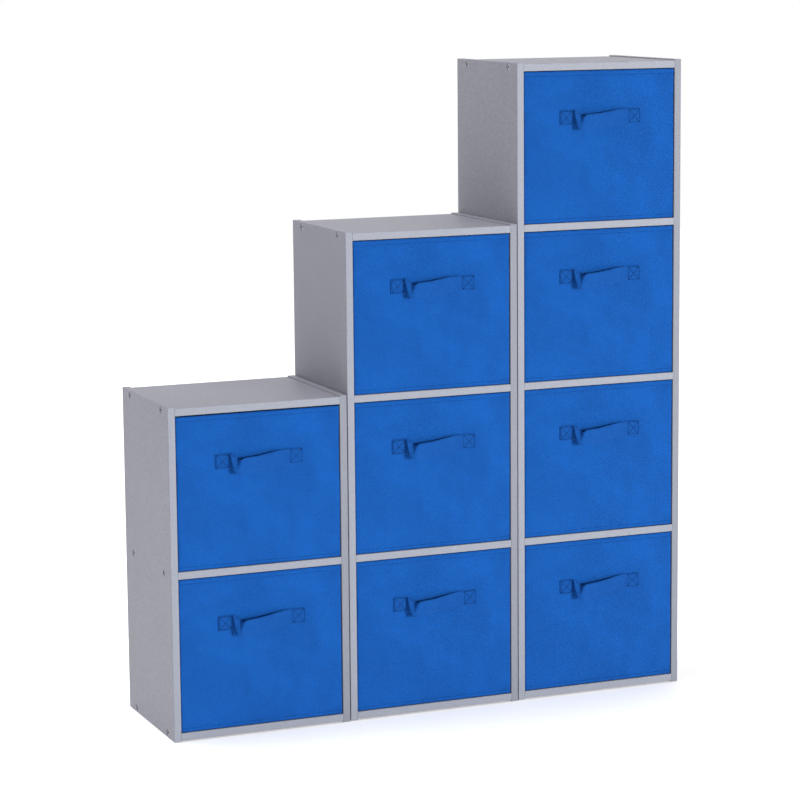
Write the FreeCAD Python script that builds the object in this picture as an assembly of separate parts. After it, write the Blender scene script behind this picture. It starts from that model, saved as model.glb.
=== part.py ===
import FreeCAD, Part
import os

# Staircase cube storage: three free-standing towers of laminated board, side by side, with two, three
# and four cells, and one fabric box with a strap handle in each cell.
# Millimetres. +X is right, +Y is back, +Z is up. The origin is on the floor, at the middle of the whole
# object's plan outline.

V = FreeCAD.Vector

# Laminated towers
TOWERS = (("low", 2), ("mid", 3), ("tall", 4))   # name and number of cells, left to right
TOWER_WIDTH = 300.0
TOWER_DEPTH = 240.0
TOWER_GAP = 2.0            # gap between neighbouring side panels
TOWER_SETBACK = 2.0        # each taller tower stands this much further back
BOARD = 12.0               # thickness of every laminated board
CELL_HEIGHT = 249.0        # clear height of a cell
PANEL_LIP = 2.0            # side panels pass the top and bottom boards by this much
EDGE_BREAK = 0.5           # chamfer on the laminated edges

# Back panel, held in grooves
BACK_THICKNESS = 3.0
BACK_INSET = 8.0           # wood left behind the groove
GROOVE_DEPTH = 5.0
GROOVE_PLAY = 0.2          # clearance on each side of the back panel

# Connecting screws, two in each end of each horizontal board
SCREW_FROM_FRONT = 35.0
SCREW_FROM_REAR = 42.0
SCREW_LENGTH = 40.0
SHANK_DIAMETER = 4.5
HEAD_DIAMETER = 10.0
HEAD_HEIGHT = 3.0
RECESS_DIAMETER = 11.0
RECESS_DEPTH = 1.2
HEX_SOCKET = 4.0           # across flats
SOCKET_DEPTH = 2.2
SCREW_PLAY = 0.05          # radial clearance around a screw

# Fabric boxes
BOX_WIDTH = 273.0
BOX_DEPTH = 226.0
BOX_HEIGHT = 246.0
BOX_RECESS = 1.5           # front of the fabric behind the front edges of the boards
BOX_LIFT = 0.3             # play under a box
SKIN = 1.0                 # one layer of fabric
WALL_BOARD = 2.5           # stiffening board inside the walls and under the lining
POCKET_PLAY = 0.1          # play on each side of a wall board in its pocket
CORNER = 5.0               # outer corner radius, and the width of the sewn corner
RIM = 1.5                  # folded fabric above the wall boards
LINING_GAP = 1.8           # the lining's lower edge above the fabric bottom
BASE_PLAY = 0.8            # play around the loose base board

# Strap handle on the front of each box
STRAP_WIDTH = 25.0
STRAP_THICKNESS = 2.0
STRAP_SPAN = 101.0         # loose part between the two sewn ends
SEWN_END = 23.0            # length of each sewn end
STRAP_FROM_TOP = 74.3      # centre of the sewn ends below the top of the box
STRAP_END_GAP = 0.5        # between the loose part and a sewn end
# The loose part's middle line: distance along the span, distance out from the box, drop
STRAP_LINE = ((-50.5, 1.3, 0.0), (-40.0, 10.0, 9.5), (-27.0, 12.0, 11.5),
              (0.0, 9.5, 8.5), (30.0, 4.5, 3.5), (50.5, 1.3, 0.0))

# Sizes that follow
PITCH = CELL_HEIGHT + BOARD
WALL = 2 * SKIN + WALL_BOARD + 2 * POCKET_PLAY
GROOVE_WIDTH = BACK_THICKNESS + 2 * GROOVE_PLAY
GROOVE_FRONT = TOWER_DEPTH - BACK_INSET - GROOVE_WIDTH
STRAP_REACH = max(point[1] for point in STRAP_LINE) + STRAP_THICKNESS / 2
TOTAL_WIDTH = len(TOWERS) * TOWER_WIDTH + (len(TOWERS) - 1) * TOWER_GAP
FRONTMOST = BOX_RECESS - STRAP_REACH
REARMOST = TOWER_DEPTH + (len(TOWERS) - 1) * TOWER_SETBACK
MIDDLE_Y = (FRONTMOST + REARMOST) / 2


def tower_height(cells):
    return 2 * PANEL_LIP + cells * PITCH + BOARD


def tower_corner(index):
    """Front bottom left corner of a tower."""
    left = index * (TOWER_WIDTH + TOWER_GAP) - TOTAL_WIDTH / 2
    return V(left, index * TOWER_SETBACK - MIDDLE_Y, 0)


def board_bottom(level):
    """Height of the lower face of a tower's horizontal board; level 0 is the bottom board."""
    return PANEL_LIP + level * PITCH


def cell_floor(index, cell):
    """Front bottom middle of the fabric box in a cell; cell 1 is the lowest."""
    rise = board_bottom(cell - 1) + BOARD + BOX_LIFT
    return tower_corner(index) + V(TOWER_WIDTH / 2, BOX_RECESS, rise)


def block(x0, x1, y0, y1, z0, z1):
    return Part.makeBox(x1 - x0, y1 - y0, z1 - z0, V(x0, y0, z0))


def edges_along(shape, direction):
    found = []
    for edge in shape.Edges:
        first, last = edge.Vertexes[0].Point, edge.Vertexes[-1].Point
        if (last - first).cross(direction).Length < 1e-6:
            found.append(edge)
    return found


# ---------------------------------------------------------------- screws

def screw():
    """One countersunk connecting screw along +X, its head recessed from the plane x = 0."""
    along = V(1, 0, 0)
    head_end = RECESS_DEPTH + HEAD_HEIGHT
    radius = SHANK_DIAMETER / 2
    head = Part.makeCone(HEAD_DIAMETER / 2, radius, HEAD_HEIGHT, V(RECESS_DEPTH, 0, 0), along)
    shank_length = SCREW_LENGTH - HEAD_HEIGHT - radius
    shank = Part.makeCylinder(radius, shank_length, V(head_end, 0, 0), along)
    tip = Part.makeCone(radius, radius / 4, radius, V(head_end + shank_length, 0, 0), along)
    hexagon = Part.makePolygon([V(RECESS_DEPTH, 0, 0) + hex_corner(i) for i in range(7)])
    socket = Part.Face(hexagon).extrude(V(SOCKET_DEPTH, 0, 0))
    return head.fuse([shank, tip]).removeSplitter().cut(socket)


def hex_corner(number):
    corner_radius = HEX_SOCKET / 3 ** 0.5
    turn = FreeCAD.Rotation(V(1, 0, 0), 60 * number)
    return turn.multVec(V(0, 0, corner_radius))


def screw_hole():
    """The recess, countersink and pilot hole for one screw, with running clearance."""
    along = V(1, 0, 0)
    play = SCREW_PLAY
    shank = SHANK_DIAMETER / 2 + play
    recess = Part.makeCylinder(RECESS_DIAMETER / 2, RECESS_DEPTH + 1, V(-1, 0, 0), along)
    sink = Part.makeCone(HEAD_DIAMETER / 2 + play, shank, HEAD_HEIGHT, V(RECESS_DEPTH, 0, 0), along)
    depth = RECESS_DEPTH + SCREW_LENGTH + 1
    pilot = Part.makeCylinder(shank, depth - RECESS_DEPTH, V(RECESS_DEPTH, 0, 0), along)
    return recess.fuse([sink, pilot]).removeSplitter()


def at_screws(shape, levels):
    """Copies of a screw-shaped thing at every screw of a tower, in the tower's own frame."""
    flipped = shape.copy()
    flipped.rotate(V(0, 0, 0), V(0, 0, 1), 180)
    copies = []
    for level in levels:
        height = board_bottom(level) + BOARD / 2
        for depth in (SCREW_FROM_FRONT, TOWER_DEPTH - SCREW_FROM_REAR):
            for pattern, side in ((shape, 0), (flipped, TOWER_WIDTH)):
                copy = pattern.copy()
                copy.translate(V(side, depth, height))
                copies.append(copy)
    return copies


# ---------------------------------------------------------------- tower boards, in the tower's frame

def side_panel(cells, left):
    """One upright panel, with recessed screw holes and a stopped groove for the back."""
    height = tower_height(cells)
    outer = 0 if left else TOWER_WIDTH - BOARD
    panel = block(outer, outer + BOARD, 0, TOWER_DEPTH, 0, height)
    panel = panel.makeChamfer(EDGE_BREAK, panel.Edges)
    low = board_bottom(0) + BOARD - GROOVE_DEPTH
    high = board_bottom(cells) + GROOVE_DEPTH
    inner = BOARD if left else TOWER_WIDTH - BOARD
    groove = block(inner - GROOVE_DEPTH, inner + GROOVE_DEPTH,
                   GROOVE_FRONT, GROOVE_FRONT + GROOVE_WIDTH, low, high)
    return panel.cut([groove] + at_screws(screw_hole(), range(cells + 1)))


def end_board(cells, level):
    """The top or bottom board, as deep as the tower, grooved on its inner face for the back."""
    low = board_bottom(level)
    board = block(BOARD, TOWER_WIDTH - BOARD, 0, TOWER_DEPTH, low, low + BOARD)
    board = board.makeChamfer(EDGE_BREAK, edges_along(board, V(1, 0, 0)))
    face = low + BOARD if level == 0 else low
    groove = block(0, TOWER_WIDTH, GROOVE_FRONT, GROOVE_FRONT + GROOVE_WIDTH,
                   face - GROOVE_DEPTH, face + GROOVE_DEPTH)
    return board.cut([groove] + at_screws(screw_hole(), [level]))


def shelf(level):
    """A fixed shelf, which stops in front of the back panel."""
    low = board_bottom(level)
    board = block(BOARD, TOWER_WIDTH - BOARD, 0, GROOVE_FRONT, low, low + BOARD)
    board = board.makeChamfer(EDGE_BREAK, edges_along(board, V(1, 0, 0)))
    return board.cut(at_screws(screw_hole(), [level]))


def back_panel(cells):
    bite = GROOVE_DEPTH - GROOVE_PLAY
    front = GROOVE_FRONT + GROOVE_PLAY
    low = board_bottom(0) + BOARD - bite
    high = board_bottom(cells) + bite
    return block(BOARD - bite, TOWER_WIDTH - BOARD + bite,
                 front, front + BACK_THICKNESS, low, high)


# ---------------------------------------------------------------- fabric box, in the box's own frame
# The frame's origin is at the bottom, middle and front of the box.

def fabric_cover():
    """Outer fabric, rim and lining in one sewn shell, with open-bottomed pockets for the wall boards
    and the two sewn ends of the strap on its front."""
    half = BOX_WIDTH / 2
    shell = block(-half, half, 0, BOX_DEPTH, 0, BOX_HEIGHT)
    shell = shell.makeFillet(CORNER, edges_along(shell, V(0, 0, 1)))
    hollow = block(WALL - half, half - WALL, WALL, BOX_DEPTH - WALL, SKIN, BOX_HEIGHT + 1)
    cover = shell.cut([hollow] + wall_spaces(SKIN, WALL - SKIN, SKIN, BOX_HEIGHT - RIM)
                      + wall_spaces(SKIN, WALL + 1, SKIN, SKIN + LINING_GAP))
    return cover.fuse(sewn_ends()).removeSplitter()


def wall_spaces(near, far, low, high, end_play=0.0):
    """Four upright slabs, one in each wall, from near to far inside the outer face."""
    half = BOX_WIDTH / 2
    across = half - CORNER - end_play
    first, last = CORNER + end_play, BOX_DEPTH - CORNER - end_play
    return [block(-across, across, near, far, low, high),
            block(-across, across, BOX_DEPTH - far, BOX_DEPTH - near, low, high),
            block(-half + near, -half + far, first, last, low, high),
            block(half - far, half - near, first, last, low, high)]


def wall_boards():
    near = SKIN + POCKET_PLAY
    low = SKIN + POCKET_PLAY
    return wall_spaces(near, near + WALL_BOARD, low, BOX_HEIGHT - RIM - POCKET_PLAY, POCKET_PLAY)


def base_board():
    """The loose board that holds the bottom flat; it lifts out."""
    half = BOX_WIDTH / 2 - WALL - BASE_PLAY
    return block(-half, half, WALL + BASE_PLAY, BOX_DEPTH - WALL - BASE_PLAY, SKIN, SKIN + WALL_BOARD)


def strap_height():
    return BOX_HEIGHT - STRAP_FROM_TOP


def sewn_ends():
    low = strap_height() - STRAP_WIDTH / 2
    start = STRAP_SPAN / 2
    end = start + SEWN_END
    return [block(x0, x1, -STRAP_THICKNESS, 0, low, low + STRAP_WIDTH)
            for x0, x1 in ((-end, -start), (start, end))]


def ribbon_face(points, offset):
    """The flat face between a smooth curve through the points and the same curve moved by offset."""
    curve = Part.BSplineCurve()
    curve.interpolate(points)
    near = curve.toShape()
    far = near.copy()
    far.translate(offset)
    first = Part.makeLine(points[0], points[0] + offset)
    last = Part.makeLine(points[-1], points[-1] + offset)
    return Part.Face(Part.Wire(Part.__sortEdges__([near, last, far, first])))


def strap():
    """The loose part of the strap: a band that bows out from the box and sags towards its left end."""
    middle = strap_height()
    deep = 2 * STRAP_WIDTH
    plan = ribbon_face([V(x, -out - STRAP_THICKNESS / 2, middle - deep / 2) for x, out, _ in STRAP_LINE],
                       V(0, STRAP_THICKNESS, 0))
    front = ribbon_face([V(x, -deep / 2, middle - drop - STRAP_WIDTH / 2) for x, _, drop in STRAP_LINE],
                        V(0, 0, STRAP_WIDTH))
    band = plan.extrude(V(0, 0, deep)).common(front.extrude(V(0, deep, 0)))
    half = STRAP_SPAN / 2 - STRAP_END_GAP
    return band.common(block(-half, half, -deep, deep, 0, BOX_HEIGHT))


# ---------------------------------------------------------------- the nodes

def tower_nodes():
    nodes = {}
    for index, (tower, cells) in enumerate(TOWERS):
        boards = {"left_side": side_panel(cells, True), "right_side": side_panel(cells, False),
                  "bottom": end_board(cells, 0), "top": end_board(cells, cells),
                  "back": back_panel(cells)}
        for level in range(1, cells):
            boards[f"shelf_{level}"] = shelf(level)
        for board, shape in boards.items():
            shape.translate(tower_corner(index))
            nodes[f"{tower}_{board}"] = shape
    return nodes


def screw_node():
    screws = []
    for index, (_, cells) in enumerate(TOWERS):
        for one in at_screws(screw(), range(cells + 1)):
            one.translate(tower_corner(index))
            screws.append(one)
    return {"connecting_screws": Part.makeCompound(screws)}


def box_nodes():
    pieces = {"cover": fabric_cover(), "wall_boards": Part.makeCompound(wall_boards()),
              "base_board": base_board(), "strap": strap()}
    nodes = {}
    for index, (tower, cells) in enumerate(TOWERS):
        for cell in range(1, cells + 1):
            for piece, shape in pieces.items():
                placed = shape.copy()
                placed.translate(cell_floor(index, cell))
                nodes[f"{tower}_box_{cell}_{piece}"] = placed
    return nodes


def all_nodes():
    return {**tower_nodes(), **screw_node(), **box_nodes()}


os.makedirs("parts", exist_ok=True)
outline = FreeCAD.BoundBox()
NODES = all_nodes()
for node, shape in NODES.items():
    outline.add(shape.BoundBox)
    shape.exportStep(f"parts/{node}.step")
    if not shape.isValid():
        print("not valid:", node)
print(len(NODES), "nodes,", "box", [round(side, 2) for side in
      (outline.XMin, outline.YMin, outline.ZMin, outline.XMax, outline.YMax, outline.ZMax)])
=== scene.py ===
import math

import bpy
import numpy as np
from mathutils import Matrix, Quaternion, Vector


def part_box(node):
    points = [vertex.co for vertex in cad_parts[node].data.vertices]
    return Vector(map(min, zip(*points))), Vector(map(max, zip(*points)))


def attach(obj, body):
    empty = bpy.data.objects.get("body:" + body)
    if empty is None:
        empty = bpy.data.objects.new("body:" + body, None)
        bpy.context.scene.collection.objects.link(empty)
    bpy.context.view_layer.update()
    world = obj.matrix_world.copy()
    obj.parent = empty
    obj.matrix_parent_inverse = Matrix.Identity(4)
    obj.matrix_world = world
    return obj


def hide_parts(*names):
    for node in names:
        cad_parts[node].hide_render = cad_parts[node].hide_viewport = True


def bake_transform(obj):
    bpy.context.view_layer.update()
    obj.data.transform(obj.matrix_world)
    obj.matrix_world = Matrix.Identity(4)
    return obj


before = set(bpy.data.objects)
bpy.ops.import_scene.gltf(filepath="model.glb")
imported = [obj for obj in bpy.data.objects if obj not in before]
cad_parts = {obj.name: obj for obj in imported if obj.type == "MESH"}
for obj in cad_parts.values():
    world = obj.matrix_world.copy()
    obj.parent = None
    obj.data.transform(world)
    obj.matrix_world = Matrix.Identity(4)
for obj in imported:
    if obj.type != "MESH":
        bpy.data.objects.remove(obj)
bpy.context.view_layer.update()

# Everything is in metres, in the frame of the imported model: +X right, +Y back, +Z up.
MM = 0.001

# The fabric boxes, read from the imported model's node names
BOXES = sorted(name[:-len("_cover")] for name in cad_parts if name.endswith("_cover"))

# Camera
CAMERA_PLACE = (-1.738, -4.166, 1.223)
CAMERA_HEADING, CAMERA_DROP, CAMERA_ROLL = 22.87, 8.50, -0.45      # in degrees
CAMERA_LENS, CAMERA_SENSOR = 123.8, 36.0                           # in millimetres
CAMERA_SHIFT_X, CAMERA_SHIFT_Y = -0.021, -0.034
CAMERA_REACH = 60.0

# Lights: name, place, what it aims at, size, watts and colour
MIDDLE = (0.0, 0.0, 0.5)
LIGHTS = (
    ("key", (6.5, -9.9, 1.2), MIDDLE, (3.4, 2.8), 1430.0, (1.0, 0.99, 0.97)),
    ("top", (-1.0, 0.5, 4.6), MIDDLE, (2.4, 1.6), 108.0, (1.0, 1.0, 1.0)),
    ("left", (-1.7, -0.4, 0.3), (-0.4, 0.0, 0.35), (0.6, 0.6), 1.8, (0.97, 0.98, 1.0)),
)
ROOM_DIM, ROOM_BRIGHT = 0.13, 1.0       # light from the front, and from behind and overhead
ROOM_RISE_FROM, ROOM_RISE_TO = -0.25, 0.35
ROOM_OVERHEAD = 0.6                     # how much a direction's height counts, beside its depth
FLOOR_SIZE = 14.0
FLOOR_BELOW = 0.0005                    # the floor lies this much under the object's feet
FLOOR_GLOW = 0.32

# Fabric box
WALL = 4.7 * MM              # outer fabric, stiffening board and lining together
CORNER = 2.4 * MM            # outer corner radius
INNER_CORNER = 1.5 * MM
FOOT_RADIUS = 2.0 * MM
INNER_FLOOR = 1.0 * MM       # height of the lining on the bottom
HEM = 7.5 * MM               # top stitch line below the rim
HEM_STEP = 0.5 * MM          # the hem's doubled cloth ends over this height
HEM_THICKNESS = 0.35 * MM
FOOT_SEAM = 6.5 * MM         # bottom stitch line above the bottom
SEAM_DEPTH = 0.45 * MM       # a stitch line pulls the cloth in by this much
SEAM_REACH = 1.3 * MM        # and over about this distance to either side
PUCKER = 1.2                 # unevenness of that pull along the line
RIM_SQUARE = 0.55            # below 1 the rolled rim is squarer than a half circle
RIM_RISE = 1.7 * MM          # the rolled rim stands above its stiffening boards
SLACK_BOX, SLACK_RISE = "low_box_2", 0.7 * MM      # one box's rim has sunk a little
BOW = 2.8 * MM               # how far the front and back crown between their edges
SIDE_BOW = 0.5 * MM
CROWN = 0.7                  # below 1 the crown is flatter in its middle
WAVE = 0.55 * MM             # slow unevenness of the cloth
PLUMP = 0.9 * MM             # the cloth stands out at the sides
OVER_BOARDS = 1.1 * MM       # and in front of its stiffening boards
OUTLINE_STEPS_X, OUTLINE_STEPS_Y, OUTLINE_STEPS_CORNER = 56, 46, 5
BASE_CORNER = 2.5 * MM       # corner radius of the base board

# Strap handle
CAD_STRAP_WIDTH = 25.0 * MM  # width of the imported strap, whose upper edge gives this one its height
SEWN_END = 23.0 * MM         # length of a sewn end
STRAP_WIDTH = 24.6 * MM
STRAP_THICKNESS = 1.5 * MM
STRAP_LOOSE_HALF = 50.5      # from the middle of the box to a sewn end, in millimetres
STRAP_SWINGS_LEFT = -40.0    # places along the strap, in millimetres, one for each of its halves
STRAP_SWINGS_RIGHT = 30.0
EDGE_SHADOW_SHARES = (0.72, 0.28)    # place of the dark stitch line that paints the shadow under the strap's lower edge, between the strap's last two lines

# Threads: thickness, length of a stitch, gap to the next
HEM_THREAD = (0.5 * MM, 2.7 * MM, 0.8 * MM)
PATCH_THREAD = (0.75 * MM, 3.0 * MM, 0.7 * MM)
STRAP_THREAD = (0.45 * MM, 2.4 * MM, 0.9 * MM)
# dark stitches by the strap's lower edge: painted shadow, standing in for the shade under that edge
EDGE_SHADOW_THREAD = (0.55 * MM, 2.6 * MM, 0.5 * MM)


# ---------------------------------------------------------------- camera, light and floor

def add_camera():
    """The camera stands four and a half metres away, to the object's left and a little above it."""
    data = bpy.data.cameras.new("camera")
    camera = bpy.data.objects.new("camera", data)
    bpy.context.scene.collection.objects.link(camera)
    camera.location = CAMERA_PLACE
    heading, drop, roll = (math.radians(turn) for turn in (CAMERA_HEADING, CAMERA_DROP, CAMERA_ROLL))
    forward = Vector((math.sin(heading) * math.cos(drop), math.cos(heading) * math.cos(drop),
                      -math.sin(drop)))
    camera.rotation_mode = "QUATERNION"
    camera.rotation_quaternion = forward.to_track_quat("-Z", "Y") @ Quaternion((0, 0, 1), roll)
    data.sensor_width = CAMERA_SENSOR
    data.lens = CAMERA_LENS
    data.shift_x = CAMERA_SHIFT_X
    data.shift_y = CAMERA_SHIFT_Y
    data.clip_end = CAMERA_REACH
    bpy.context.scene.camera = camera


def add_area_light(name, place, target, size, watts, color):
    data = bpy.data.lights.new(name, "AREA")
    data.shape = "RECTANGLE"
    data.size, data.size_y = size
    data.energy = watts
    data.color = color
    light = bpy.data.objects.new(name, data)
    bpy.context.scene.collection.objects.link(light)
    light.location = place
    light.visible_camera = False
    aim = Vector(target) - Vector(place)
    light.rotation_mode = "QUATERNION"
    light.rotation_quaternion = aim.to_track_quat("-Z", "Y")


def add_room():
    """Light from all round, bright from behind and overhead and dim from the front. The backdrop itself
    shows plain white."""
    world = bpy.data.worlds.new("studio")
    bpy.context.scene.world = world
    world.use_nodes = True
    room = world.node_tree
    background = room.nodes["Background"]
    background.inputs["Color"].default_value = (1.0, 1.0, 1.0, 1.0)
    direction = room.nodes.new("ShaderNodeTexCoord").outputs["Generated"]
    split = room.nodes.new("ShaderNodeSeparateXYZ")
    lifted = room.nodes.new("ShaderNodeMath")
    lifted.operation = "MULTIPLY_ADD"
    lifted.inputs[1].default_value = ROOM_OVERHEAD
    brightness = room.nodes.new("ShaderNodeMapRange")
    brightness.inputs["From Min"].default_value = ROOM_RISE_FROM
    brightness.inputs["From Max"].default_value = ROOM_RISE_TO
    brightness.inputs["To Min"].default_value = ROOM_DIM
    brightness.inputs["To Max"].default_value = ROOM_BRIGHT
    seen = room.nodes.new("ShaderNodeMath")
    seen.operation = "MAXIMUM"
    straight = room.nodes.new("ShaderNodeLightPath").outputs["Is Camera Ray"]
    room.links.new(direction, split.inputs[0])
    room.links.new(split.outputs["Z"], lifted.inputs[0])
    room.links.new(split.outputs["Y"], lifted.inputs[2])
    room.links.new(lifted.outputs[0], brightness.inputs["Value"])
    room.links.new(brightness.outputs[0], seen.inputs[0])
    room.links.new(straight, seen.inputs[1])
    room.links.new(seen.outputs[0], background.inputs["Strength"])


def add_floor():
    data = bpy.data.meshes.new("floor")
    half = FLOOR_SIZE / 2
    data.from_pydata([(-half, -half, 0), (half, -half, 0), (half, half, 0), (-half, half, 0)], [],
                     [(0, 1, 2, 3)])
    floor = bpy.data.objects.new("floor", data)
    floor.location.z = -FLOOR_BELOW
    bpy.context.scene.collection.objects.link(floor)
    data.materials.append(floor_material())


def add_studio():
    for light in LIGHTS:
        add_area_light(*light)
    add_room()
    add_floor()
    bpy.context.scene.view_settings.view_transform = "Standard"


# ---------------------------------------------------------------- materials

class Shader:
    """A small helper that builds one node material."""

    def __init__(self, name):
        self.material = bpy.data.materials.new(name)
        self.material.use_nodes = True
        self.tree = self.material.node_tree
        self.surface = self.tree.nodes["Principled BSDF"]

    def node(self, kind, values=None, **settings):
        made = self.tree.nodes.new(kind)
        for key, value in settings.items():
            setattr(made, key, value)
        for key, value in (values or {}).items():
            if isinstance(value, bpy.types.NodeSocket):
                self.tree.links.new(value, made.inputs[key])
            else:
                made.inputs[key].default_value = value
        return made

    def math(self, operation, first, second=0.0, third=0.0, clamp=False):
        made = self.node("ShaderNodeMath", operation=operation, use_clamp=clamp)
        for socket, value in zip(made.inputs, (first, second, third)):
            if isinstance(value, bpy.types.NodeSocket):
                self.tree.links.new(value, socket)
            else:
                socket.default_value = value
        return made.outputs[0]

    def mix(self, factor, first, second):
        made = self.node("ShaderNodeMix", data_type="RGBA")
        for socket, value in ((made.inputs[0], factor), (made.inputs[6], first), (made.inputs[7], second)):
            if isinstance(value, bpy.types.NodeSocket):
                self.tree.links.new(value, socket)
            else:
                socket.default_value = value
        return made.outputs[2]

    def noise(self, coordinates, scale, detail=2.0, roughness=0.5):
        values = {"Vector": coordinates, "Scale": scale, "Detail": detail, "Roughness": roughness}
        return self.node("ShaderNodeTexNoise", values).outputs["Fac"]

    def ramp(self, value, low, high):
        """value moved from the range low..high to 0..1, clamped."""
        made = self.node("ShaderNodeMapRange", {"Value": value, "From Min": low, "From Max": high})
        return made.outputs[0]

    def finish(self, **sockets):
        for key, value in sockets.items():
            socket = self.surface.inputs[key.replace("_", " ")]
            if isinstance(value, bpy.types.NodeSocket):
                self.tree.links.new(value, socket)
            else:
                socket.default_value = value
        return self.material


def floor_material():
    s = Shader("pale_floor")
    place = s.node("ShaderNodeTexCoord").outputs["Object"]
    tone = s.noise(place, 1.2, 3.0)
    color = s.mix(s.ramp(tone, 0.3, 0.7), (0.91, 0.91, 0.91, 1), (0.94, 0.94, 0.94, 1))
    s.finish(Emission_Color=(1.0, 1.0, 1.0, 1.0), Emission_Strength=FLOOR_GLOW)
    return s.finish(Base_Color=color, Roughness=0.6)


def laminate_material(name, band_shade_scale):
    """Light grey melamine: pebbled press, faint mottling and, on the faces that look along Y, a slightly
    paler bluish edge banding. The last argument scales the banding's colour: below 1 it paints shade onto
    the banding."""
    s = Shader(name)
    place = s.node("ShaderNodeTexCoord").outputs["Object"]
    normal = s.node("ShaderNodeNewGeometry").outputs["True Normal"]
    facing = s.node("ShaderNodeSeparateXYZ", {"Vector": normal})
    banded = s.ramp(s.math("ABSOLUTE", facing.outputs["Y"]), 0.80, 0.95)
    cloud = s.noise(place, 7.0, 4.0, 0.6)
    mottle = s.noise(place, 300.0, 4.0, 0.65)
    fleck = s.noise(place, 900.0, 3.0, 0.7)
    tone = s.math("ADD", s.math("MULTIPLY", cloud, 0.15), s.math("MULTIPLY", mottle, 0.85))
    face = s.mix(s.ramp(tone, 0.36, 0.64), (0.171, 0.171, 0.208, 1), (0.245, 0.246, 0.290, 1))
    pale, deep = (0.251, 0.268, 0.321), (0.222, 0.238, 0.287)
    # painted shade: a scale below 1 darkens the banding of what is otherwise this same laminate
    band = s.mix(s.ramp(tone, 0.36, 0.64), tuple(v * band_shade_scale for v in deep) + (1,),
                 tuple(v * band_shade_scale for v in pale) + (1,))
    color = s.mix(banded, face, band)
    color = s.mix(s.math("MULTIPLY", s.ramp(fleck, 0.60, 0.75), 0.25), color, (0.17, 0.17, 0.20, 1))
    pebble = s.noise(place, 700.0, 3.0, 0.6)
    height = s.math("ADD", pebble, s.math("MULTIPLY", mottle, 0.7))
    bump = s.node("ShaderNodeBump", {"Height": height, "Strength": 0.35, "Distance": 0.00025})
    rough = s.math("ADD", 0.45, s.math("MULTIPLY", mottle, 0.16))
    s.finish(Specular_IOR_Level=0.35)
    return s.finish(Base_Color=color, Roughness=rough, Normal=bump.outputs[0])


def hardboard_material():
    """Thin grey-faced hardboard of the back panels, cloudy and finely fibrous."""
    s = Shader("hardboard")
    place = s.node("ShaderNodeTexCoord").outputs["Object"]
    tone = s.noise(place, 14.0, 5.0, 0.6)
    color = s.mix(s.ramp(tone, 0.3, 0.7), (0.255, 0.255, 0.280, 1), (0.285, 0.285, 0.312, 1))
    fibre = s.noise(place, 1100.0, 4.0, 0.7)
    bump = s.node("ShaderNodeBump", {"Height": fibre, "Strength": 0.3, "Distance": 0.0002})
    rough = s.math("ADD", 0.55, s.math("MULTIPLY", tone, 0.2))
    return s.finish(Base_Color=color, Roughness=rough, Normal=bump.outputs[0])


def cardboard_material():
    s = Shader("grey_board")
    place = s.node("ShaderNodeTexCoord").outputs["Object"]
    fibre = s.noise(place, 500.0, 5.0, 0.7)
    color = s.mix(s.ramp(fibre, 0.35, 0.65), (0.20, 0.18, 0.16, 1), (0.30, 0.28, 0.25, 1))
    bump = s.node("ShaderNodeBump", {"Height": fibre, "Strength": 0.3, "Distance": 0.0002})
    return s.finish(Base_Color=color, Roughness=0.9, Normal=bump.outputs[0])


def zinc_material():
    s = Shader("zinc_steel")
    place = s.node("ShaderNodeTexCoord").outputs["Object"]
    spangle = s.noise(place, 700.0, 3.0, 0.6)
    color = s.mix(s.ramp(spangle, 0.3, 0.7), (0.46, 0.46, 0.48, 1), (0.62, 0.62, 0.63, 1))
    rough = s.math("ADD", 0.28, s.math("MULTIPLY", spangle, 0.2))
    return s.finish(Base_Color=color, Roughness=rough, Metallic=1.0)


def fabric_material(name, deep, light, emboss):
    """Royal blue non-woven cloth: pressed all over with small diamonds that run together into slanted
    lines in places, with loose fibres and faint cloudiness. The cloth's own coordinates are its UV
    map, in metres."""
    s = Shader(name)
    cloth = s.node("ShaderNodeUVMap").outputs["UV"]
    pitch = 0.0028
    turned = s.node("ShaderNodeMapping", {"Vector": cloth, "Rotation": (0, 0, math.radians(45))})
    axes = s.node("ShaderNodeSeparateXYZ", {"Vector": turned.outputs[0]})
    crossing, slanted = [
        s.math("ABSOLUTE", s.math("SINE", s.math("MULTIPLY", axes.outputs[i], math.pi / pitch)))
        for i in (0, 1)]
    patches = s.ramp(s.noise(cloth, 11.0, 2.0, 0.5), 0.38, 0.62)
    crossing = s.math("POWER", crossing, s.math("ADD", 0.15, s.math("MULTIPLY", patches, 0.75)))
    pillow = s.math("POWER", s.math("MULTIPLY", crossing, slanted), 0.8)
    fibre = s.noise(cloth, 2600.0, 4.0, 0.7)
    cloud = s.noise(cloth, 24.0, 5.0, 0.7)
    clump = s.noise(cloth, 240.0, 3.0, 0.7)
    tone = s.math("ADD", s.math("MULTIPLY", pillow, emboss), s.math("MULTIPLY", fibre, 0.25))
    tone = s.math("ADD", tone, s.math("MULTIPLY", cloud, 0.42))
    tone = s.math("ADD", tone, s.math("MULTIPLY", clump, 0.50))
    color = s.mix(s.ramp(tone, 0.42, 0.66 + emboss), deep, light)
    height = s.math("ADD", s.math("MULTIPLY", pillow, emboss), s.math("MULTIPLY", fibre, 0.20))
    bump = s.node("ShaderNodeBump", {"Height": height, "Strength": 1.0, "Distance": 0.0005})
    s.finish(Sheen_Weight=0.06, Sheen_Roughness=0.5, Specular_IOR_Level=0.12)
    s.surface.inputs["Sheen Tint"].default_value = (0.35, 0.6, 1.0, 1.0)
    rough = s.math("ADD", 0.74, s.math("MULTIPLY", fibre, 0.2))
    return s.finish(Base_Color=color, Roughness=rough, Normal=bump.outputs[0])


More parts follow.
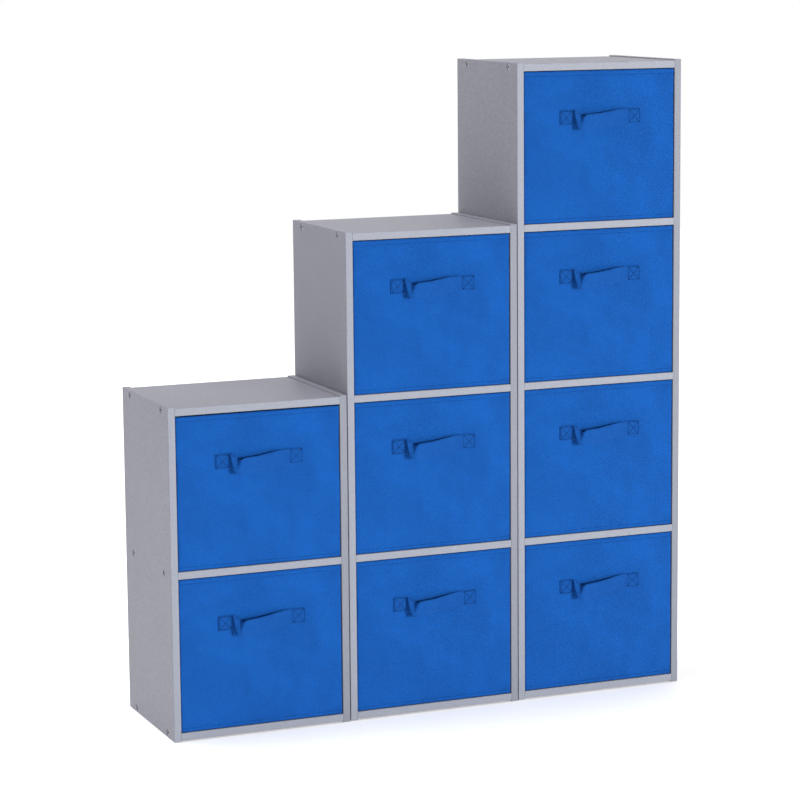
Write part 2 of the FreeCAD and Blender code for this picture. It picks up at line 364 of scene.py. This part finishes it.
def thread_material():
    s = Shader("navy_thread")
    cloth = s.node("ShaderNodeTexCoord").outputs["Object"]
    twist = s.noise(cloth, 4000.0, 2.0, 0.6)
    color = s.mix(twist, (0.001, 0.010, 0.06, 1), (0.002, 0.022, 0.12, 1))
    s.finish(Specular_IOR_Level=0.05)
    return s.finish(Base_Color=color, Roughness=0.8)


# ---------------------------------------------------------------- mesh building

def mesh_piece(name, points, faces, uvs, materials, slot_name, material_of_face=None):
    """A smooth-shaded object in the row frame, from points in metres, with one UV pair per corner."""
    data = bpy.data.meshes.new(name)
    data.from_pydata([tuple(p) for p in points], [], faces)
    layer = data.uv_layers.new(name="cloth")
    layer.data.foreach_set("uv", np.asarray(uvs, float).ravel())
    for material in materials:
        data.materials.append(material)
    if material_of_face is not None:
        data.polygons.foreach_set("material_index", material_of_face)
    data.polygons.foreach_set("use_smooth", [True] * len(data.polygons))
    data.update()
    piece = bpy.data.objects.new(name, data)
    bpy.context.scene.collection.objects.link(piece)
    return piece


def grid_faces(rows, columns, closed):
    """Quads of a grid whose points are numbered row by row."""
    faces = []
    last = columns if closed else columns - 1
    for row in range(rows - 1):
        for column in range(last):
            after = (column + 1) % columns
            faces.append((row * columns + column, row * columns + after,
                          (row + 1) * columns + after, (row + 1) * columns + column))
    return faces


class Waves:
    """Smooth repeatable unevenness made of a few sine waves."""

    def __init__(self, seed, longest, shortest, count=9):
        draw = np.random.default_rng(seed)
        length = np.geomspace(longest, shortest, count)
        turn = draw.uniform(0, 2 * math.pi, count)
        self.frequency = 2 * math.pi / length
        self.direction = np.stack([np.cos(turn), np.sin(turn)])
        self.phase = draw.uniform(0, 2 * math.pi, count)
        self.weight = length / length.sum()

    def at(self, u, v):
        u, v = np.broadcast_arrays(np.asarray(u, float), np.asarray(v, float))
        along = u[..., None] * self.direction[0] + v[..., None] * self.direction[1]
        return (np.sin(along * self.frequency + self.phase) * self.weight).sum(-1)


class BoxShape:
    """The outer skin of one fabric box: where a point of the cloth lies."""

    def __init__(self, low, high, seed):
        self.middle = (low + high) / 2
        self.low = low
        self.half_x = (high.x - low.x) / 2
        self.half_y = (high.y - low.y) / 2
        self.height = high.z - low.z
        self.waves = Waves(seed, 0.16, 0.03)
        self.pucker = Waves(seed + 50, 0.02, 0.006)

    def outline(self, inset, radius):
        """Points and outward directions of a rounded rectangle, anticlockwise from the front left."""
        hx, hy = self.half_x - inset - radius, self.half_y - inset - radius
        corners = ((-hx, -hy, 180), (hx, -hy, 270), (hx, hy, 0), (-hx, hy, 90))
        points, outward = [], []
        for i, (cx, cy, start) in enumerate(corners):
            for angle in np.radians(np.linspace(start, start + 90, OUTLINE_STEPS_CORNER)):
                direction = (math.cos(angle), math.sin(angle))
                points.append((cx + radius * direction[0], cy + radius * direction[1]))
                outward.append(direction)
            nx, ny, _ = corners[(i + 1) % 4]
            leave = outward[-1]
            steps = OUTLINE_STEPS_X if i % 2 == 0 else OUTLINE_STEPS_Y
            for k in range(1, steps):
                t = k / steps
                points.append((cx + (nx - cx) * t + radius * leave[0],
                               cy + (ny - cy) * t + radius * leave[1]))
                outward.append(leave)
        return np.array(points), np.array(outward)

    def swell(self, x, y, z, outward):
        """How far the cloth stands out from the plain box, at points relative to its middle and foot."""
        up = np.clip(z / self.height, 0, 1)
        arch = np.clip(4 * up * (1 - up), 0, 1) ** CROWN
        across_x = np.clip(1 - (x / self.half_x) ** 2, 0, 1) ** CROWN
        across_y = np.clip(1 - (y / self.half_y) ** 2, 0, 1) ** CROWN
        out = arch * (BOW * across_x * np.abs(outward[..., 1])
                      + SIDE_BOW * across_y * np.abs(outward[..., 0]))
        run = x + y * np.sign(outward[..., 0] + 1e-9)
        out = out + WAVE * self.waves.at(run, z) * np.sqrt(arch)
        gather = 1 + PUCKER * self.pucker.at(run, 0.0)
        for seam in (self.height - HEM, FOOT_SEAM):
            dip = np.exp(-((z - seam) / SEAM_REACH) ** 2)
            out = out - SEAM_DEPTH * dip * gather
        hem = 1 / (1 + np.exp(-(z - self.height + HEM) / HEM_STEP))
        return out + HEM_THICKNESS * hem

    def front(self, x, z):
        """The y of the front face at places given relative to the box's middle and foot."""
        outward = np.zeros(np.shape(x) + (2,))
        outward[..., 1] = -1
        y = np.full(np.shape(x), -self.half_y)
        return self.low.y - self.swell(x, y, z, outward)


def fabric_shell(shape):
    """Outer wall, rolled rim, lining, inside floor and underside as one closed skin."""
    height = shape.height
    roll = WALL / 2
    profile = []          # inset, height above the foot, share of the outer swell
    for angle in np.radians(np.linspace(-90, 0, 5)):
        profile.append((FOOT_RADIUS - FOOT_RADIUS * math.cos(angle),
                        FOOT_RADIUS + FOOT_RADIUS * math.sin(angle), 0.5))
    stops = np.unique(np.round(np.concatenate([
        np.arange(3.0, 11.0, 1.0), np.linspace(11.0, height / MM - 12, 38),
        np.arange(height / MM - 11, height / MM - 2.6, 0.9)]), 3)) * MM
    profile += [(0.0, z, 1.0) for z in stops]
    for angle in np.radians(np.linspace(0, 180, 9)):
        share = 1.0 - angle / math.pi
        across, up = math.cos(angle), math.sin(angle)
        profile.append((roll - roll * math.copysign(abs(across) ** RIM_SQUARE, across),
                        height - roll + roll * abs(up) ** RIM_SQUARE, share))
    profile += [(WALL, z, 0.0) for z in np.linspace(height - 9 * MM, INNER_FLOOR + 1 * MM, 18)]
    rows, around = [], []
    length = 0.0
    previous = None
    for inset, z, share in profile:
        radius = max(CORNER - inset, INNER_CORNER)
        points, outward = shape.outline(inset, radius)
        out = shape.swell(points[:, 0], points[:, 1], np.full(len(points), z), outward) * share
        ring = np.column_stack([points[:, 0] + outward[:, 0] * out, points[:, 1] + outward[:, 1] * out,
                                np.full(len(points), z)])
        if previous is not None:
            length += math.hypot(inset - previous[0], z - previous[1])
        previous = (inset, z)
        rows.append(ring)
        around.append(length)
    columns = len(rows[0])
    outer, _ = shape.outline(0.0, CORNER)
    steps = np.linalg.norm(np.roll(outer, -1, 0) - outer, axis=1)
    along = np.concatenate([[0.0], np.cumsum(steps)])
    points = np.concatenate(rows)
    faces = grid_faces(len(rows), columns, True)
    uvs = []
    for row in range(len(rows) - 1):
        for column in range(columns):
            uvs += [(along[column], around[row]), (along[column + 1], around[row]),
                    (along[column + 1], around[row + 1]), (along[column], around[row + 1])]
    base = shape.middle
    points = points + np.array([base.x, base.y, shape.low.z])
    points, faces, uvs = close_end(points, faces, uvs, list(range(columns))[::-1], shape.low.z)
    inner = [(len(rows) - 1) * columns + c for c in range(columns)]
    points, faces, uvs = close_end(points, faces, uvs, inner, shape.low.z + INNER_FLOOR)
    return points, faces, uvs


def close_end(points, faces, uvs, loop, height):
    """Closes a loop with a flat sheet: rings that shrink towards the middle."""
    ring = points[loop]
    middle = ring.mean(0)
    middle[2] = height
    last = list(loop)
    for share in (0.985, 0.8, 0.5, 0.2):
        inner = middle + (ring - middle) * np.array([share, share, 1.0])
        inner[:, 2] = height
        first = len(points)
        points = np.concatenate([points, inner])
        new = [first + i for i in range(len(loop))]
        for i in range(len(loop)):
            j = (i + 1) % len(loop)
            face = (last[i], last[j], new[j], new[i])
            faces.append(face)
            uvs += [(points[k][0], points[k][1]) for k in face]
        last = new
    points = np.concatenate([points, [middle]])
    for i in range(len(loop)):
        face = (last[i], last[(i + 1) % len(loop)], len(points) - 1)
        faces.append(face)
        uvs += [(points[k][0], points[k][1]) for k in face]
    return points, faces, uvs


# ---------------------------------------------------------------- stitches

def stitch(start, end, normal, thickness):
    """One stitch: a short thread that dips into the cloth at both ends."""
    along = end - start
    length = np.linalg.norm(along)
    along = along / length
    side = np.cross(normal, along)
    side = side / np.linalg.norm(side)
    up = np.cross(along, side)
    # place along the stitch, share of its thickness, rise above the cloth
    rings = ((0.0, 0.35, -0.35), (0.16, 0.85, 0.10), (0.5, 1.0, 0.28), (0.84, 0.85, 0.10),
             (1.0, 0.35, -0.35))
    sides = 6
    points = []
    for t, swell, lift in rings:
        centre = start + along * (length * t) + up * (thickness * lift)
        for corner in range(sides):
            angle = corner * 2 * math.pi / sides
            points.append(centre + (side * math.cos(angle) + up * math.sin(angle)) * thickness / 2 * swell)
    faces = grid_faces(len(rings), sides, True)
    faces.append(tuple(range(sides))[::-1])
    faces.append(tuple(range((len(rings) - 1) * sides, len(rings) * sides)))
    return points, faces


class Seam:
    """Collects stitches into one mesh."""

    def __init__(self, thickness, length, gap):
        self.thickness, self.length, self.gap = thickness, length, gap
        self.points, self.faces = [], []

    def run(self, path, normals):
        """Stitches along a path of points, with the cloth's outward direction at each."""
        path, normals = np.asarray(path, float), np.asarray(normals, float)
        steps = np.linalg.norm(np.diff(path, axis=0), axis=1)
        at = np.concatenate([[0.0], np.cumsum(steps)])
        count = max(1, int(round(at[-1] / (self.length + self.gap))))
        pace = at[-1] / count
        for k in range(count):
            ends = [np.array([np.interp(pace * k + d, at, path[:, i]) for i in range(3)])
                    for d in (self.gap / 2, pace - self.gap / 2)]
            normal = np.array([np.interp(pace * (k + 0.5), at, normals[:, i]) for i in range(3)])
            points, faces = stitch(ends[0], ends[1], normal / np.linalg.norm(normal), self.thickness)
            first = len(self.points)
            self.points += points
            self.faces += [tuple(first + i for i in face) for face in faces]

    def piece(self, name, material):
        corners = sum(len(face) for face in self.faces)
        return mesh_piece(name, self.points, self.faces, np.zeros((corners, 2)), [material], "blue_fabric")


def hem_stitches(shape, seam):
    """One stitch line round the box under the rim and one above its foot."""
    outer, outward = shape.outline(0.0, CORNER)
    loop = list(range(len(outer))) + [0]
    for z in (shape.height - HEM, FOOT_SEAM):
        out = shape.swell(outer[:, 0], outer[:, 1], np.full(len(outer), z), outward)
        path = np.column_stack([outer + outward * out[:, None], np.full(len(outer), z)])
        path = path + np.array([shape.middle.x, shape.middle.y, shape.low.z])
        normals = np.column_stack([outward, np.zeros(len(outer))])
        seam.run(path[loop], normals[loop])


def patch_stitches(shape, seam, centre_x, centre_z):
    """A square of stitches with a cross in it, on top of one sewn end of the strap."""
    half = SEWN_END / 2 - 1.6 * MM
    tall = STRAP_WIDTH / 2 - 2.0 * MM
    corners = [(-half, -tall), (half, -tall), (half, tall), (-half, tall)]
    lines = [(corners[i], corners[(i + 1) % 4]) for i in range(4)]
    lines += [(corners[0], corners[2]), (corners[1], corners[3])]
    for (x0, z0), (x1, z1) in lines:
        t = np.linspace(0, 1, 9)
        x, z = centre_x + x0 + (x1 - x0) * t, centre_z + z0 + (z1 - z0) * t
        y = shape.front(x, z) - STRAP_THICKNESS - 0.05 * MM
        path = np.column_stack([x + shape.middle.x, y, z + shape.low.z])
        seam.run(path, np.tile([0.0, -1.0, 0.0], (9, 1)))


# ---------------------------------------------------------------- strap

# The strap's lie, left to right, in millimetres: each row is a line across it, given by its upper
# edge, its middle and its lower edge, as x along the box, distance out from the cloth, and height
# from the middle of the sewn ends. The strap is slack: beside its left end it buckles outwards and
# folds over itself, and from the fold it rises to its right end.
STRAP_LIE = (
    ((-73.5, 0.75, 12.3), (-73.5, 0.75, 0.0), (-73.5, 0.75, -12.3)),
    ((-51.2, 0.75, 12.3), (-51.2, 0.75, 0.0), (-51.2, 0.75, -12.3)),
    ((-50.2, 0.8, 12.3), (-48.6, 0.8, -1.0), (-46.6, 0.8, -14.6)),
    ((-49.5, 1.1, 12.2), (-46.4, 1.5, -2.2), (-42.6, 1.9, -17.0)),
    ((-49.1, 2.0, 12.0), (-45.9, 3.0, -3.2), (-41.8, 4.4, -18.8)),
    ((-49.3, 3.8, 11.8), (-47.8, 7.0, -4.2), (-44.4, 11.0, -20.0)),
    ((-48.6, 4.1, 11.4), (-47.0, 7.6, -4.6), (-43.4, 11.6, -20.4)),
    ((-34.6, 1.6, 1.6), (-39.6, 10.2, -8.4), (-41.0, 11.8, -20.6)),
    ((-33.8, 2.0, 1.4), (-39.2, 10.8, -8.6), (-40.4, 11.9, -20.6)),
    ((-34.8, 11.4, 0.8), (-38.8, 12.2, -8.8), (-39.6, 12.0, -20.7)),
    ((-34.0, 12.1, 2.4), (-37.6, 12.5, -8.4), (-38.6, 12.0, -20.7)),
    ((-30.8, 12.3, 4.2), (-33.4, 12.4, -8.0), (-34.4, 11.6, -20.5)),
    ((-26.0, 12.0, 4.9), (-27.8, 11.8, -7.6), (-28.8, 10.8, -20.2)),
    ((-18.0, 11.2, 5.3), (-18.8, 10.7, -7.2), (-19.5, 9.6, -19.7)),
    ((-5.0, 9.6, 6.2), (-5.3, 8.7, -6.2), (-5.6, 7.4, -18.5)),
    ((11.0, 7.2, 8.4), (11.0, 6.2, -4.2), (11.0, 5.0, -16.8)),
    ((26.0, 4.6, 10.6), (26.0, 3.8, -2.2), (26.0, 3.0, -14.9)),
    ((39.0, 2.2, 12.0), (39.0, 1.9, -0.8), (39.0, 1.6, -13.4)),
    ((49.5, 1.0, 12.3), (49.5, 1.0, -0.1), (49.5, 1.0, -12.5)),
    ((52.0, 0.75, 12.3), (52.0, 0.75, 0.0), (52.0, 0.75, -12.3)),
    ((73.5, 0.75, 12.3), (73.5, 0.75, 0.0), (73.5, 0.75, -12.3)),
)
STRAP_LOOSE_ROWS = slice(3, 17)    # the rows that differ a little from box to box
STRAP_SPLIT = -8.0            # where the two halves of the loose part meet, in millimetres
STRAP_STEP = 0.7              # spacing of the lines across the finished strap, in millimetres
STRAP_ACROSS = 11             # points in each of those lines
STRAP_FOLD = 30 * MM          # the fold doubles back within this length, so the halves meet after it


def smooth_along(values, width):
    """Averages neighbouring rows, keeping the two ends in place."""
    reach = int(3 * width) + 1
    weights = np.exp(-0.5 * (np.arange(-reach, reach + 1) / width) ** 2)
    weights /= weights.sum()
    padded = np.concatenate([np.repeat(values[:1], reach, 0), values, np.repeat(values[-1:], reach, 0)])
    return sum(w * padded[i:i + len(values)] for i, w in enumerate(weights))


def strap_surface(shape, centre_z, seed):
    """The strap's middle surface as a grid of points: lines across it, in order along it."""
    draw = np.random.default_rng(seed)
    lie = np.array(STRAP_LIE)
    lie[STRAP_LOOSE_ROWS, :, 1] *= draw.uniform(0.93, 1.03)
    lie[STRAP_LOOSE_ROWS, :, 2] += draw.uniform(-0.8, 0.8)
    lie[STRAP_LOOSE_ROWS, :, 0] += draw.uniform(-0.6, 0.6)
    across = np.linspace(0, 1, STRAP_ACROSS)[:, None]
    weights = ((1 - across) * (1 - 2 * across), 4 * across * (1 - across), across * (2 * across - 1))
    lines = np.stack([sum(w * row[i] for i, w in enumerate(weights)) for row in lie])
    middle = lines[:, STRAP_ACROSS // 2]
    at = np.concatenate([[0.0], np.cumsum(np.linalg.norm(np.diff(middle, axis=0), axis=1))])
    steps = np.linspace(0, at[-1], int(at[-1] / STRAP_STEP))
    flat = lines.reshape(len(lines), -1)
    dense = np.column_stack([np.interp(steps, at, flat[:, i]) for i in range(flat.shape[1])])
    tight, soft = smooth_along(dense, 0.9), smooth_along(dense, 5.0)
    place = np.interp(steps, at, middle[:, 0])
    ease = np.clip((place + 30.0) / 10.0, 0, 1) * np.clip((48.0 - place) / 6.0, 0, 1)
    grid = (tight + (soft - tight) * ease[:, None]).reshape(len(steps), STRAP_ACROSS, 3)
    ripple = Waves(seed + 9, 30.0, 9.0, 6)
    loosened = np.clip((51.0 - np.abs(grid[..., 0])) / 12.0, 0, 1)
    grid[..., 1] += 0.5 * loosened * ripple.at(grid[..., 0], grid[..., 2])
    x, z = grid[..., 0] * MM, centre_z + grid[..., 2] * MM
    y = shape.front(x, z) - grid[..., 1] * MM
    return np.stack([x + shape.middle.x, y, z + shape.low.z], -1), steps * MM


def strap_half(name, grid, steps, materials):
    """A closed band of even thickness with rounded edges around part of the strap's surface, with a stitch
    line along each edge and a line of dark stitches by the lower one, which paints the shadow under that
    edge. The materials are its cloth and its thread."""
    along = np.gradient(grid, axis=0)
    across = np.gradient(grid, axis=1)
    normal = np.cross(along, across)
    normal /= np.linalg.norm(normal, axis=2, keepdims=True)
    width = np.linspace(-1, 1, STRAP_ACROSS)
    half = STRAP_THICKNESS / 2 * np.sqrt(1 - 0.93 * np.abs(width) ** 8)[None, :, None]
    front, back = grid + normal * half, (grid - normal * half)[:, ::-1]
    rings = np.concatenate([front, back], axis=1)
    columns = rings.shape[1]
    points = rings.reshape(-1, 3)
    faces = grid_faces(len(rings), columns, True)
    v = np.concatenate([width, width[::-1] + 0.001]) * STRAP_WIDTH / 2
    uvs = []
    for row in range(len(rings) - 1):
        for column in range(columns):
            after = (column + 1) % columns
            uvs += [(steps[row], v[column]), (steps[row], v[after]),
                    (steps[row + 1], v[after]), (steps[row + 1], v[column])]
    first = tuple(range(columns))[::-1]
    last = tuple((len(rings) - 1) * columns + i for i in range(columns))
    faces += [first, last]
    uvs += [(steps[0], v[i]) for i in first] + [(steps[-1], v[i - last[0]]) for i in last]
    seam = Seam(*STRAP_THREAD)
    for column in (1, STRAP_ACROSS - 2):
        seam.run(front[1:-1, column], normal[1:-1, column])
    # dark stitches near the lower edge paint the shadow that falls under the strap's edge
    edge_shadow = Seam(*EDGE_SHADOW_THREAD)
    edge = EDGE_SHADOW_SHARES[0] * front[1:-1, -1] + EDGE_SHADOW_SHARES[1] * front[1:-1, -2]
    edge_shadow.run(edge, normal[1:-1, -1])
    count = len(points)
    points = np.concatenate([points, np.array(seam.points)])
    faces += [tuple(count + i for i in face) for face in seam.faces]
    cloth_faces = len(faces)
    count = len(points)
    points = np.concatenate([points, np.array(edge_shadow.points)])
    faces += [tuple(count + i for i in face) for face in edge_shadow.faces]
    uvs += [(0.0, 0.0)] * sum(len(face) for face in seam.faces + edge_shadow.faces)
    # the dark thread material goes only on the stitches that paint that shadow
    thread = [0] * cloth_faces + [1] * len(edge_shadow.faces)
    piece = mesh_piece(name, points, faces, uvs, materials, "blue_fabric", thread)
    sharpen_caps(piece, columns, (len(rings) - 1) * columns)
    return piece


def sharpen_caps(piece, columns, last_start):
    """Keeps the flat ends from rounding the shading of the band."""
    for edge in piece.data.edges:
        a, b = edge.vertices
        low = a < columns and b < columns
        high = last_start <= a < last_start + columns and last_start <= b < last_start + columns
        if low or high:
            edge.use_edge_sharp = True


def make_strap(name, shape, centre_z, seed, materials):
    grid, steps = strap_surface(shape, centre_z, seed)
    off = np.abs(grid[:, STRAP_ACROSS // 2, 0] - shape.middle.x - STRAP_SPLIT * MM)
    split = int(np.argmin(np.where(steps < STRAP_FOLD, np.inf, off)))
    halves = (("strap_left", slice(0, split + 1), -STRAP_LOOSE_HALF, STRAP_SWINGS_LEFT),
              ("strap_right", slice(split, None), STRAP_LOOSE_HALF, STRAP_SWINGS_RIGHT))
    for side, part, sewn, loose in halves:
        piece = strap_half(f"{name}_{side}", grid[part], steps[part], materials)
        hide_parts(f"{name}_strap")
        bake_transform(piece)


# ---------------------------------------------------------------- base board

def make_base(name, cloth):
    """The loose base board, wrapped in the same cloth."""
    low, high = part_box(f"{name}_base_board")
    middle = (low + high) / 2
    half_x, half_y = (high.x - low.x) / 2, (high.y - low.y) / 2
    thickness = high.z - low.z
    roll = thickness / 2
    rings = []
    for angle in np.radians(np.linspace(-90, 90, 7)):
        rings.append((roll - roll * math.cos(angle), low.z + roll + roll * math.sin(angle)))
    points, faces, uvs = [], [], []
    for inset, z in rings:
        hx, hy, radius = half_x - inset, half_y - inset, BASE_CORNER
        for cx, cy, start in ((-1, -1, 180), (1, -1, 270), (1, 1, 0), (-1, 1, 90)):
            for angle in np.radians(np.linspace(start, start + 90, OUTLINE_STEPS_CORNER)):
                points.append((middle.x + cx * (hx - radius) + radius * math.cos(angle),
                               middle.y + cy * (hy - radius) + radius * math.sin(angle), z))
    columns = 4 * OUTLINE_STEPS_CORNER
    points = np.array(points)
    faces = grid_faces(len(rings), columns, True)
    for face in faces:
        uvs += [(points[k][0], points[k][1] + points[k][2]) for k in face]
    points, faces, uvs = close_end(points, faces, uvs, list(range(columns))[::-1], low.z)
    top = [(len(rings) - 1) * columns + c for c in range(columns)]
    points, faces, uvs = close_end(points, faces, uvs, top, high.z)
    piece = mesh_piece(f"{name}_base_wrapped", points, faces, uvs, [cloth], "blue_fabric")
    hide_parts(f"{name}_base_board")
    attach(piece, f"{name}_base")


# ---------------------------------------------------------------- the pieces

def dress_frame(materials):
    """Gives every CAD node that stays its own finish."""
    for node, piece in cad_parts.items():
        if node == "connecting_screws":
            material = materials["zinc"]
        elif node.endswith("_wall_boards") or node.endswith("_base_board"):
            material = materials["board"]
        elif node.endswith("_back"):
            material = materials["hardboard"]
        # the right side panels take a copy of the laminate whose edge banding is darkened: painted shade
        elif node.endswith("_right_side"):
            material = materials["laminate_painted_shade"]
        else:
            material = materials["laminate"]
        piece.data.materials.clear()
        piece.data.materials.append(material)


def make_box(name, seed, materials):
    """The soft pieces of one fabric box: its shell, its stitches, its strap and its base board."""
    low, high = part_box(f"{name}_cover")
    _, strap_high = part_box(f"{name}_strap")
    boards_low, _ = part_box(f"{name}_wall_boards")
    front = boards_low.y - OVER_BOARDS
    rise = SLACK_RISE if name == SLACK_BOX else RIM_RISE
    shape = BoxShape(Vector((low.x - PLUMP, front, low.z)),
                     Vector((high.x + PLUMP, high.y, high.z + rise)), seed)
    shell = mesh_piece(f"{name}_fabric", *fabric_shell(shape), [materials["fabric"]], "blue_fabric")
    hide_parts(f"{name}_cover")
    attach(shell, name)
    centre_z = strap_high.z - CAD_STRAP_WIDTH / 2 - low.z
    seam = Seam(*HEM_THREAD)
    hem_stitches(shape, seam)
    seam.thickness, seam.length, seam.gap = PATCH_THREAD
    for side in (-1, 1):
        patch_stitches(shape, seam, side * (STRAP_LOOSE_HALF * MM + SEWN_END / 2), centre_z)
    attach(seam.piece(f"{name}_stitching", materials["thread"]), name)
    make_strap(name, shape, centre_z, seed + 100, (materials["strap"], materials["thread"]))
    make_base(name, materials["fabric"])


add_camera()
add_studio()
MATERIALS = {
    "laminate": laminate_material("grey_laminate", 1.0),
    # the same laminate with its edge banding darkened to 0.8: painted shade on the right side panels
    "laminate_painted_shade": laminate_material("grey_laminate_painted_shade", 0.80),
    "hardboard": hardboard_material(),
    "board": cardboard_material(),
    "zinc": zinc_material(),
    "fabric": fabric_material("blue_fabric", (0.0006, 0.030, 0.150, 1), (0.0046, 0.107, 0.455, 1), 0.9),
    "strap": fabric_material("blue_strap", (0.0005, 0.042, 0.205, 1), (0.004, 0.078, 0.33, 1), 0.25),
    "thread": thread_material(),
}
dress_frame(MATERIALS)
for number, box_name in enumerate(BOXES):
    make_box(box_name, number + 1, MATERIALS)
